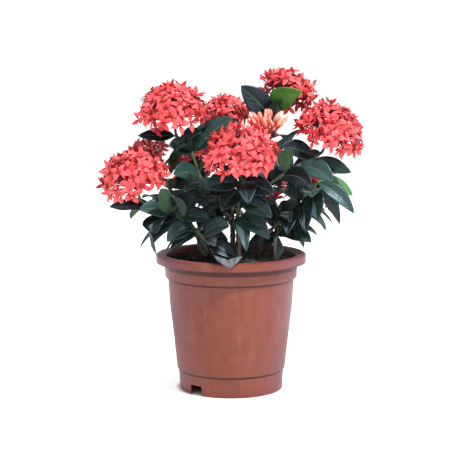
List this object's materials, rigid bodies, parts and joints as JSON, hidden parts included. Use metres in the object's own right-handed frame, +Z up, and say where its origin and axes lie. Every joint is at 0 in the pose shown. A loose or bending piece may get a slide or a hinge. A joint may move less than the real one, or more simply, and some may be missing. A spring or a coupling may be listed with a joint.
{
  "type": "potted ixora plant",
  "caption": "Bushy flowering shrub with glossy opposite leaves and domed coral-red flower clusters, growing in a round stepped plastic nursery pot filled with soil.",
  "frame": {"origin": "on the pot's axis, at the level of the foot that the pot stands on, below the middle of the whole plant's box", "axes": "+Z up along the pot's axis, -Y towards the plant's best side, +X to that side's right"},
  "size_m": [0.3434, 0.241, 0.4241],
  "materials": {
    "pot_plastic": "moulded terracotta-brown plastic, semi-matte, scuffed and mottled",
    "soil": "rough, dark and crumbly",
    "bark": "dull grey-brown bark",
    "leaf": "leathery, satin gloss, with a pale midrib",
    "petal": "soft coral red, matte",
    "bud": "waxy peach pink with orange tips",
    "withered_leaf": "dry, crinkled grey"
  },
  "bodies": {
    "root": {"pot": "pot_plastic", "soil": "soil", "fallen_leaf": "withered_leaf", "stem_left": "bark", "stem_front_left": "bark", "stem_centre": "bark", "stem_right": "bark", "stem_back": "bark", "stem_back_left": "bark", "stem_back_right": "bark", "shoot_upper_left": "leaf", "shoot_far_left": "leaf", "shoot_back_left": "leaf", "shoot_centre": "leaf", "shoot_right": "leaf", "shoot_top": "leaf", "shoot_behind_middle": "leaf", "shoot_budding": "leaf", "shoot_back_right": "leaf", "shoot_behind_left": "leaf", "shoot_behind_right": "leaf", "shoot_low_left": "leaf", "shoot_low_right": "leaf", "shoot_rim_right": "leaf", "shoot_low_back_left": "leaf", "shoot_low_back_right": "leaf", "shoot_low_back": "leaf", "head_upper_left": "petal", "head_far_left": "petal", "head_back_left": "petal", "head_centre": "petal", "head_right": "petal", "head_top": "petal", "head_behind_middle": "petal", "head_budding": "bud", "head_back_right": "petal", "head_behind_left": "petal", "head_behind_right": "petal"}
  },
  "joints": []
}
